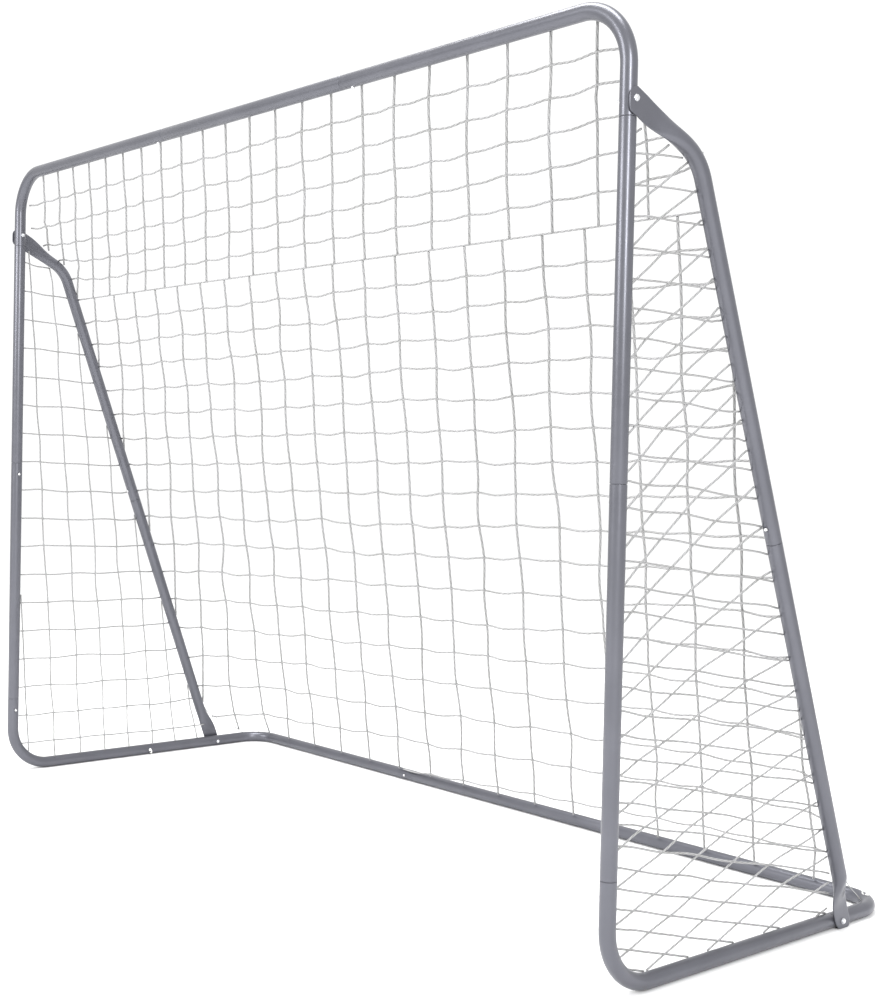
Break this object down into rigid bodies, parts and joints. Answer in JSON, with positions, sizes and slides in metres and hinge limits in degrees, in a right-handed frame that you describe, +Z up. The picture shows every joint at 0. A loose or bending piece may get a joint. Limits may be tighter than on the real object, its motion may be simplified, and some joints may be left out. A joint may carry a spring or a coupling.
{
  "type": "soccer goal frame",
  "caption": "Free-standing garden soccer goal: grey steel tube frame with rounded corners, bent rear braces and a white knotted net.",
  "frame": {"origin": "on the ground, in the middle of the goal's width and depth", "axes": "+X towards the goal's right post seen from the pitch, +Y from the mouth to the rear bar, +Z up"},
  "size_m": [2.5046, 0.93, 1.8],
  "materials": {
    "frame_paint": "satin powder coat, blue grey",
    "bolt_zinc": "bright zinc plate",
    "button_nickel": "bright nickel plate",
    "spring_steel": "blued spring steel",
    "hook_plastic": "moulded white",
    "net_cord": "twisted white polyethylene cord"
  },
  "bodies": {
    "frame": {"crossbar_middle": "frame_paint", "rear_bar_middle": "frame_paint", "top_corner_left": "frame_paint", "post_upper_left": "frame_paint", "post_lower_left": "frame_paint", "bottom_corner_left": "frame_paint", "rear_corner_left": "frame_paint", "brace_upper_left": "frame_paint", "brace_lower_left": "frame_paint", "top_corner_right": "frame_paint", "post_upper_right": "frame_paint", "post_lower_right": "frame_paint", "bottom_corner_right": "frame_paint", "rear_corner_right": "frame_paint", "brace_upper_right": "frame_paint", "brace_lower_right": "frame_paint", "bolt_top_left": "bolt_zinc", "bolt_top_right": "bolt_zinc", "bolt_foot_left": "bolt_zinc", "bolt_foot_right": "bolt_zinc", "nut_top_left": "bolt_zinc", "nut_top_right": "bolt_zinc", "nut_foot_left": "bolt_zinc", "nut_foot_right": "bolt_zinc", "spring_crossbar_left": "spring_steel", "spring_crossbar_right": "spring_steel", "spring_post_middle_left": "spring_steel", "spring_post_middle_right": "spring_steel", "spring_post_bottom_left": "spring_steel", "spring_post_bottom_right": "spring_steel", "spring_rear_bar_left": "spring_steel", "spring_rear_bar_right": "spring_steel", "spring_brace_left": "spring_steel", "spring_brace_right": "spring_steel", "hook_crossbar_left": "hook_plastic", "hook_crossbar_right": "hook_plastic", "hook_brace_upper_left": "hook_plastic", "hook_brace_upper_right": "hook_plastic", "hook_brace_lower_left": "hook_plastic", "hook_brace_lower_right": "hook_plastic", "hook_rail_left": "hook_plastic", "hook_rail_right": "hook_plastic", "hook_rear_corner_left": "hook_plastic", "hook_rear_corner_right": "hook_plastic", "net_roof": "net_cord", "net_back": "net_cord", "net_left": "net_cord", "net_right": "net_cord"},
    "snap_crossbar_left": {"button_crossbar_left": "button_nickel"},
    "snap_crossbar_right": {"button_crossbar_right": "button_nickel"},
    "snap_post_middle_left": {"button_post_middle_left": "button_nickel"},
    "snap_post_middle_right": {"button_post_middle_right": "button_nickel"},
    "snap_post_bottom_left": {"button_post_bottom_left": "button_nickel"},
    "snap_post_bottom_right": {"button_post_bottom_right": "button_nickel"},
    "snap_rear_bar_left": {"button_rear_bar_left": "button_nickel"},
    "snap_rear_bar_right": {"button_rear_bar_right": "button_nickel"},
    "snap_brace_left": {"button_brace_left": "button_nickel"},
    "snap_brace_right": {"button_brace_right": "button_nickel"}
  },
  "joints": [
    {"name": "press_crossbar_left", "type": "slide", "parent": "frame", "child": "snap_crossbar_left", "axis": [0, 0, 1], "range_m": [0, 0.005], "stiffness_N_per_m": 800, "springref_m": -0.004, "deforming": ["spring_crossbar_left"]},
    {"name": "press_crossbar_right", "type": "slide", "parent": "frame", "child": "snap_crossbar_right", "axis": [0, 0, 1], "range_m": [0, 0.005], "stiffness_N_per_m": 800, "springref_m": -0.004, "deforming": ["spring_crossbar_right"]},
    {"name": "press_post_middle_left", "type": "slide", "parent": "frame", "child": "snap_post_middle_left", "axis": [-1, 0, 0], "range_m": [0, 0.005], "stiffness_N_per_m": 800, "springref_m": -0.004, "deforming": ["spring_post_middle_left"]},
    {"name": "press_post_middle_right", "type": "slide", "parent": "frame", "child": "snap_post_middle_right", "axis": [1, 0, 0], "range_m": [0, 0.005], "stiffness_N_per_m": 800, "springref_m": -0.004, "deforming": ["spring_post_middle_right"]},
    {"name": "press_post_bottom_left", "type": "slide", "parent": "frame", "child": "snap_post_bottom_left", "axis": [-1, 0, 0], "range_m": [0, 0.005], "stiffness_N_per_m": 800, "springref_m": -0.004, "deforming": ["spring_post_bottom_left"]},
    {"name": "press_post_bottom_right", "type": "slide", "parent": "frame", "child": "snap_post_bottom_right", "axis": [1, 0, 0], "range_m": [0, 0.005], "stiffness_N_per_m": 800, "springref_m": -0.004, "deforming": ["spring_post_bottom_right"]},
    {"name": "press_rear_bar_left", "type": "slide", "parent": "frame", "child": "snap_rear_bar_left", "axis": [0, 1, 0], "range_m": [0, 0.005], "stiffness_N_per_m": 800, "springref_m": -0.004, "deforming": ["spring_rear_bar_left"]},
    {"name": "press_rear_bar_right", "type": "slide", "parent": "frame", "child": "snap_rear_bar_right", "axis": [0, 1, 0], "range_m": [0, 0.005], "stiffness_N_per_m": 800, "springref_m": -0.004, "deforming": ["spring_rear_bar_right"]},
    {"name": "press_brace_left", "type": "slide", "parent": "frame", "child": "snap_brace_left", "axis": [0, 0.9383, 0.3458], "range_m": [0, 0.005], "stiffness_N_per_m": 800, "springref_m": -0.004, "deforming": ["spring_brace_left"]},
    {"name": "press_brace_right", "type": "slide", "parent": "frame", "child": "snap_brace_right", "axis": [0, 0.9383, 0.3458], "range_m": [0, 0.005], "stiffness_N_per_m": 800, "springref_m": -0.004, "deforming": ["spring_brace_right"]}
  ]
}
